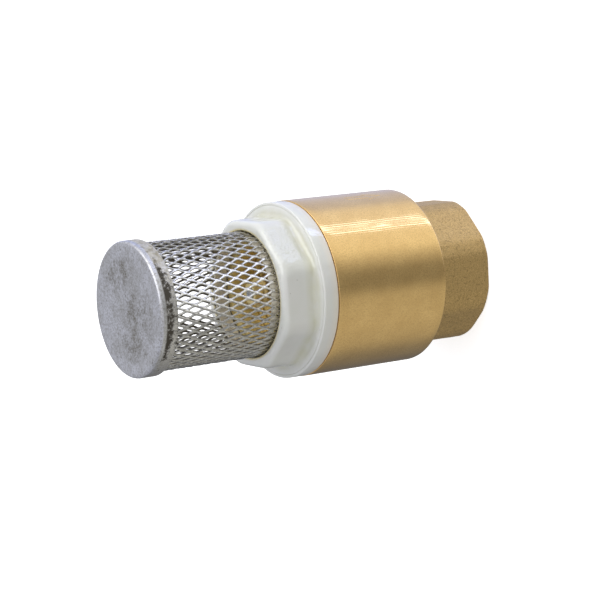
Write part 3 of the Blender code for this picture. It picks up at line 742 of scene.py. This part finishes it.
def strainer_mesh(look):
    """Expanded metal: staggered diamond holes whose strands all lean the same way."""
    step = math.tau / MESH_AROUND
    middle_radius = MESH_RADIUS - 0.5
    lowest, highest = MESH_BASE + 0.2, MESH_TOP - 0.2
    half_length = DIAMOND_LENGTH / 2
    side, tip = 0.34, 0.12    # half lengths of the hole's short sides
    crookedness = 0.035
    noise.seed_set(3)         # noise_vector draws its directions from this seed
    # Corners 0 to 7 of a hole, counted from its right side over its top
    outline = [
        (HOLE_HALF_WIDTH, side),
        (tip, HOLE_HALF_LENGTH),
        (-tip, HOLE_HALF_LENGTH),
        (-HOLE_HALF_WIDTH, side),
        (-HOLE_HALF_WIDTH, -side),
        (-tip, -HOLE_HALF_LENGTH),
        (tip, -HOLE_HALF_LENGTH),
        (HOLE_HALF_WIDTH, -side),
    ]
    first = math.ceil((lowest - DIAMOND_LEVEL) / half_length)
    last = math.floor((highest - DIAMOND_LEVEL) / half_length)
    points, faces, start = [], [], {}
    for row in range(first, last + 1):
        level = DIAMOND_LEVEL + row * half_length
        for index in range(MESH_AROUND):
            angle = DIAMOND_ANGLE + step * (index + 0.5 * (row % 2))
            start[row, index] = len(points)
            for corner, (across, along) in enumerate(outline):
                place = Vector((index * 3.7, row * 5.1, corner * 2.3))
                jitter = noise.noise_vector(place) * crookedness
                turn = angle + (across + jitter.x) / middle_radius
                lean = STRAND_RISE * across / HOLE_HALF_WIDTH
                radius = middle_radius + lean + jitter.z
                height = min(highest, max(lowest, level + along + jitter.y))
                points.append((radius * math.cos(turn), radius * math.sin(turn), height))

    def hole(row, index):
        return start.get((row, index % MESH_AROUND))

    for (row, index), here in start.items():
        shift = row % 2
        right_up = hole(row + 1, index + shift)
        left_up = hole(row + 1, index + shift - 1)
        beside = hole(row, index + 1)
        if right_up is not None:
            faces.append((here + 0, right_up + 5, right_up + 4, here + 1))
        if left_up is not None:
            faces.append((here + 3, here + 2, left_up + 7, left_up + 6))
        under = hole(row - 1, index + shift)
        bond = [here + 7]
        if under is not None:
            bond += [under + 2, under + 1]
        bond += [beside + 4, beside + 3]
        if right_up is not None:
            bond += [right_up + 6, right_up + 5]
        faces.append((*bond, here + 0))
    mesh = finish_mesh("strainer_mesh_expanded", points, faces, sharp=30.0)
    piece = add_piece("strainer_mesh_expanded", mesh, look, "housing", "strainer_mesh")
    piece.visible_shadow = False     # lets the studio light reach the brass behind the mesh
    wall = piece.modifiers.new("wall", "SOLIDIFY")
    wall.thickness = STRAND_THICKNESS * MM
    wall.offset = 0.0
    edge = piece.modifiers.new("edge", "BEVEL")
    edge.width = 0.05 * MM
    edge.segments = 1
    edge.limit_method = "ANGLE"
    edge.angle_limit = math.radians(40)
    return piece


def end_cap(look):
    wall, rim = 0.55, 1.6
    dish, dish_radius = 0.22, 16.5
    face_radii = [16.2] + [1.5 * step for step in range(10, 0, -1)]

    def profile(angle):
        skirt_base = CAP_BASE + unevenness(angle, 0.0, 8.0, 2.0, 0.22)
        inner = CAP_RADIUS - wall
        outside = CAP_RADIUS + unevenness(angle, 50.0, 8.0, 2.5, 0.06)
        face = [(radius, CAP_TOP - dish * (1 - (radius / dish_radius) ** 4)
                 + unevenness(angle, 20.0, radius, 3.5, 0.05), 0.0)
                for radius in face_radii]
        outline = [(0.0, CAP_TOP - dish - wall, 0.0), (inner, CAP_TOP - dish - wall, 0.6),
                   (inner, skirt_base, 0.1), (outside, skirt_base, 0.2),
                   (outside, CAP_TOP - 2.0, 0.0), (CAP_RADIUS, CAP_TOP, rim)]
        outline += face + [(0.0, CAP_TOP - dish, 0.0)]
        return rounded(outline, closed=False, steps=5)

    return revolve("end_cap_pressed", profile, look, "housing", ["end_cap"],
                   angles=even_angles(192), closed=False)


# ---------------------------------------------------------------- inner pieces

def plain_ring(node, bore, look, body, edge=0.15):
    """A flat ring with the CAD node's own radius and thickness, and broken edges."""
    radius, base, top = extent(node)
    outline = [(bore, base, edge), (radius, base, edge), (radius, top, edge), (bore, top, edge)]
    return revolve(node + "_finished", rounded(outline), look, body, [node], even_angles(96))


def hexagon_nut(node, flats, bore, look):
    """Hexagon nut, chamfered on both faces."""
    _, base, top = extent(node)
    round_radius = flats / 2 + 0.05

    def profile(angle):
        radius = polygon_radius(angle, 6, flats, 0.1)
        drop = max(0.03, (radius - round_radius) * math.tan(math.radians(30)))
        outline = [(bore + 0.15, base, 0.0), (min(round_radius, radius - 0.02), base, 0.0),
                   (radius, base + drop, 0.05), (radius, top - drop, 0.05),
                   (min(round_radius, radius - 0.02), top, 0.0), (bore + 0.15, top, 0.0),
                   (bore, top - 0.15, 0.0), (bore, base + 0.15, 0.0)]
        return rounded(outline, steps=2)

    return revolve(node + "_finished", profile, look, "poppet", [node], even_angles(120),
                   sharp=25.0)


def valve_stem(look):
    stem, tip, shoulder = 2.5, 1.5, 62.5
    collar_base, collar_top = 35.8, 37.3
    m3_pitch, m3_depth = 0.5, 0.28

    def profile(angle):
        made = rounded([(0.0, STEM_BASE, 0.0), (stem, STEM_BASE, 0.4), (stem, collar_base, 0.2),
                        (STEM_COLLAR_RADIUS, collar_base, 0.25),
                        (STEM_COLLAR_RADIUS, collar_top, 0.25), (stem, collar_top, 0.2),
                        (stem, shoulder, 0.2), (tip, shoulder, 0.1), (tip, shoulder + 0.3, 0.0)],
                       closed=False)
        made += thread_rows(angle, tip, shoulder + 0.35, STEM_TOP - 0.4, -m3_depth, m3_pitch, 6)
        return made + [(tip - 0.35, STEM_TOP), (0.0, STEM_TOP)]

    return revolve("valve_stem_turned", profile, look, "poppet", ["valve_stem"], even_angles(60),
                   closed=False)


def poppet_disc(look):
    radius, base, top = extent("poppet_disc")
    boss, boss_length, bore = 6.0, 2.0, 2.8
    outline = [(bore, base, 0.1), (boss, base, 0.4), (boss, base + boss_length, 0.4),
               (radius - 0.7, base + boss_length, 0.2), (radius, base + boss_length + 0.7, 0.2),
               (radius, top, 0.3), (bore, top, 0.1)]
    return revolve("poppet_disc_turned", rounded(outline), look, "poppet", ["poppet_disc"],
                   even_angles(128))


def bush(node, look):
    radius, base, top = extent(node)
    sleeve, bore, flange = 3.9, 2.8, 0.6
    outline = [(bore, base, 0.15), (sleeve, base, 0.2), (sleeve, top - flange, 0.1),
               (radius, top - flange, 0.15), (radius, top, 0.15), (bore, top, 0.2)]
    return revolve(node + "_moulded", rounded(outline), look, "housing", [node], even_angles(64))


def spring_cup(look):
    radius, base, top = extent("spring_cup")
    wall, bore = 0.6, 5.9
    outline = [(bore, base, 0.1), (radius, base, 0.6), (radius, top, 0.15),
               (radius - wall, top, 0.15), (radius - wall, base + wall, 0.3),
               (bore, base + wall, 0.1)]
    return revolve("spring_cup_pressed", rounded(outline), look, "housing", ["spring_cup"],
                   even_angles(96))


def return_spring(look):
    """Coil with its last turn at each end closed up, as springs are wound."""
    wire, turns, sides, steps = 0.4, 6.5, 12, 40
    middle = SPRING_OUTSIDE - wire
    base, top = SPRING_BASE + wire, SPRING_TOP - wire
    closed_rise = 2 * wire + 0.06     # a closed turn rests on the next one
    free_turns = turns - 2
    pitch = (top - base - 2 * closed_rise) / free_turns

    def height(turn):
        if turn < 1:
            return base + closed_rise * turn
        if turn > turns - 1:
            return top - closed_rise * (turns - turn)
        return base + closed_rise + pitch * (turn - 1)

    count = round(turns * steps)
    points, faces = [], []
    for index in range(count + 1):
        turn = turns * index / count
        angle = math.tau * turn
        slope = (height(min(turns, turn + 0.05)) - height(max(0, turn - 0.05))) / 0.1
        out = Vector((math.cos(angle), math.sin(angle), 0.0))
        along = Vector((-math.sin(angle) * middle * math.tau, math.cos(angle) * middle * math.tau,
                        slope)).normalized()
        over = along.cross(out).normalized() * -1
        centre = out * middle + Vector((0, 0, height(turn)))
        for corner in range(sides):
            round_wire = math.tau * corner / sides
            offset = out * math.cos(round_wire) + over * math.sin(round_wire)
            points.append(centre + offset * wire)
    for index in range(count):
        for corner in range(sides):
            after = (corner + 1) % sides
            faces.append((index * sides + corner, index * sides + after,
                          (index + 1) * sides + after, (index + 1) * sides + corner))
    faces.append(tuple(range(sides)))
    faces.append(tuple(count * sides + corner for corner in range(sides)))
    mesh = finish_mesh("return_spring_wound", [tuple(point) for point in points], faces)
    piece = add_piece("return_spring_wound", mesh, look, None, "return_spring")
    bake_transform(piece)
    return piece


def carry_over(node, look, edge):
    """Keep a CAD node's shape, with its edges broken and its own material."""
    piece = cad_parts[node]
    piece.data.materials.clear()
    piece.data.materials.append(look)
    piece.data.shade_smooth()
    piece.data.set_sharp_from_angle(angle=math.radians(35))
    weld = piece.modifiers.new("weld", "WELD")
    weld.merge_threshold = 0.001 * MM
    broken = piece.modifiers.new("broken_edges", "BEVEL")
    broken.width = edge * MM
    broken.segments = 2
    broken.limit_method = "ANGLE"
    broken.angle_limit = math.radians(35)
    return piece


# ---------------------------------------------------------------- studio

def camera():
    azimuth, elevation = math.radians(VIEW_AZIMUTH), math.radians(VIEW_ELEVATION)
    back = Vector((math.sin(azimuth) * math.cos(elevation),
                   -math.cos(azimuth) * math.cos(elevation), math.sin(elevation)))
    data = bpy.data.cameras.new("camera")
    data.lens = LENS
    data.sensor_width = 36.0
    data.clip_start = 0.05
    data.clip_end = 50.0
    made = bpy.data.objects.new("camera", data)
    bpy.context.scene.collection.objects.link(made)
    roll = Matrix.Rotation(math.radians(-VIEW_ROLL), 4, "Z")
    turn = (-back).to_track_quat("-Z", "Y").to_matrix().to_4x4() @ roll
    made.matrix_world = Matrix.Translation(VIEW_TARGET + back * VIEW_DISTANCE) @ turn
    bpy.context.scene.camera = made


# Brightness and blueness of the studio below the horizon, by angle round the valve from the side
# that faces the camera: the turned brass mirrors these bands as stripes along the barrel.
LOW_BANDS = [
    (-180, 0.30, 1.0), (-156, 0.14, 1.1), (-114, 0.29, 1.0), (-92, 0.52, 0.87), (-60, 0.62, 0.87),
    (-26, 0.58, 0.87), (-10, 0.30, 0.9), (8, 0.33, 0.9), (22, 0.62, 0.9), (38, 1.06, 0.92),
    (68, 1.12, 1.0), (70, 2.90, 1.7), (73, 2.90, 1.7), (75, 1.12, 1.1), (104, 1.02, 1.15),
    (116, 0.72, 1.5), (160, 0.66, 1.5), (180, 0.30, 1.0),
]
HIGH_BANDS = [
    (-180, 0.62, 1.08), (-140, 0.50, 1.1), (-90, 0.58, 1.1), (-30, 0.66, 1.05), (30, 0.90, 1.0),
    (75, 1.05, 1.0), (120, 1.00, 1.1), (160, 0.70, 1.1), (180, 0.62, 1.08),
]
# Large soft box above, on the side that the light comes from
BOX_AZIMUTH, BOX_ELEVATION = math.radians(85), math.radians(52)
BOX_INNER, BOX_OUTER = math.radians(24), math.radians(36)
BOX_BRIGHTNESS = 2.5


def studio():
    """World light by direction. The camera itself sees plain white."""
    scene = bpy.context.scene
    world = bpy.data.worlds.new("studio")
    scene.world = world
    world.use_nodes = True
    tree = world.node_tree
    tree.nodes.clear()

    def node(kind, inputs=(), **settings):
        return add_node(tree, kind, inputs, **settings)

    def bands(share, stops):
        made = node("ValToRGB", {0: share})
        elements = made.color_ramp.elements
        while len(elements) < len(stops):
            elements.new(0.5)
        for element, (angle, value, blueness) in zip(elements, stops):
            element.position = (angle + 180) / 360
            green = value * (1 + (blueness - 1) / 6)
            element.color = (value, green, value * blueness, 1.0)
        return made.outputs[0]

    direction = node("TexCoord").outputs["Generated"]
    turned = node("Mapping", {"Vector": direction, "Rotation": (0.0, 0.0, -FACING)}).outputs[0]
    x, y, z = node("SeparateXYZ", {0: turned}).outputs
    angle = node("Math", {0: y, 1: x}, operation="ARCTAN2").outputs[0]
    share = node("MapRange", {0: angle, 1: -math.pi, 2: math.pi, 3: 0.0, 4: 1.0}).outputs[0]
    upward = node("MapRange", {0: z, 1: -0.25, 2: 0.2, 3: 0.0, 4: 1.0}).outputs[0]
    around = node("Mix", {0: upward, 6: bands(share, LOW_BANDS), 7: bands(share, HIGH_BANDS)},
                  data_type="RGBA").outputs[2]
    box_direction = (math.cos(BOX_ELEVATION) * math.cos(BOX_AZIMUTH),
                     math.cos(BOX_ELEVATION) * math.sin(BOX_AZIMUTH), math.sin(BOX_ELEVATION))
    off_box = node("VectorMath", {0: turned, 1: box_direction}, operation="DOT_PRODUCT").outputs[1]
    in_box = node("MapRange", {0: off_box, 1: math.cos(BOX_OUTER), 2: math.cos(BOX_INNER),
                               3: 0.0, 4: 1.0}).outputs[0]
    light = node("Mix", {0: in_box, 6: around, 7: (BOX_BRIGHTNESS,) * 3 + (1.0,)},
                 data_type="RGBA").outputs[2]
    seen = node("LightPath").outputs["Is Camera Ray"]
    studio_light = node("Background", {"Color": light, "Strength": 1.0}).outputs[0]
    backdrop = node("Background", {"Color": (1.0, 1.0, 1.0, 1.0), "Strength": 1.0}).outputs[0]
    both = node("MixShader", {0: seen, 1: studio_light, 2: backdrop}).outputs[0]
    node("OutputWorld", {0: both})
    scene.view_settings.view_transform = "Standard"


def floor():
    """Pale floor under the outlet. Only the camera sees it, so that the studio lights all sides."""
    size = 20.0
    mesh = bpy.data.meshes.new("floor")
    corners = [(-size, -size, 0), (size, -size, 0), (size, size, 0), (-size, size, 0)]
    mesh.from_pydata(corners, [], [(0, 1, 2, 3)])
    made = bpy.data.objects.new("floor", mesh)
    bpy.context.scene.collection.objects.link(made)
    made.location.z = -0.0002
    look = bpy.data.materials.new("floor")
    look.use_nodes = True
    shader = look.node_tree.nodes["Principled BSDF"]
    shader.inputs["Base Color"].default_value = (0.8, 0.8, 0.8, 1.0)
    shader.inputs["Roughness"].default_value = 0.9
    shader.inputs["Specular IOR Level"].default_value = 0.0
    shader.inputs["Emission Color"].default_value = (1.0, 1.0, 1.0, 1.0)
    shader.inputs["Emission Strength"].default_value = 0.62
    mesh.materials.append(look)
    for ray in ("diffuse", "glossy", "transmission", "shadow"):
        setattr(made, "visible_" + ray, False)


# ---------------------------------------------------------------- the whole valve

def build():
    seat_look = machined_brass("seat_brass", (0.97, 0.78, 0.34))
    poppet_look = machined_brass("poppet_brass", (0.92, 0.74, 0.35))
    steel = bright_steel("stem_steel", (0.66, 0.66, 0.65), 0.28)
    spring_look = bright_steel("spring_steel", (0.55, 0.55, 0.55), 0.22)
    acetal = plain_plastic("acetal", (0.80, 0.79, 0.73), 0.38, 0.3)
    nitrile = plain_plastic("nitrile", (0.022, 0.022, 0.022), 0.55, 0.25)
    fibre = plain_plastic("fibre", (0.16, 0.22, 0.15), 0.8, 0.2)

    pieces = {
        "body_brass": [valve_body(body_brass())],
        "seat_brass": [inlet_seat(seat_look), carry_over("upper_guide", seat_look, 0.2),
                       carry_over("lower_guide", seat_look, 0.2),
                       carry_over("upper_guide_ring", seat_look, 0.1)],
        "poppet_brass": [poppet_disc(poppet_look),
                         plain_ring("seal_retainer", 2.8, poppet_look, "poppet"),
                         plain_ring("stop_washer", 1.8, poppet_look, "poppet", 0.1),
                         hexagon_nut("stop_nut", 5.5, 1.8, poppet_look)],
        "steel": [valve_stem(steel), plain_ring("seal_washer", 2.8, steel, "poppet"),
                  hexagon_nut("seal_nut", 8.0, 2.8, steel), spring_cup(steel)],
        "spring_steel": [return_spring(spring_look)],
        "mesh_steel": [strainer_mesh(mesh_steel())],
        "cap_steel": [end_cap(cap_steel())],
        "nylon": [strainer_nut(nylon())],
        "acetal": [bush("upper_bush", acetal), bush("lower_bush", acetal)],
        "nitrile": [plain_ring("poppet_seal", 2.8, nitrile, "poppet", 0.3)],
        "fibre": [plain_ring("body_gasket", 18.8, fibre, "housing", 0.1)],
    }
    for slot, members in pieces.items():
        for piece in members:
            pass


build()
camera()
studio()
floor()
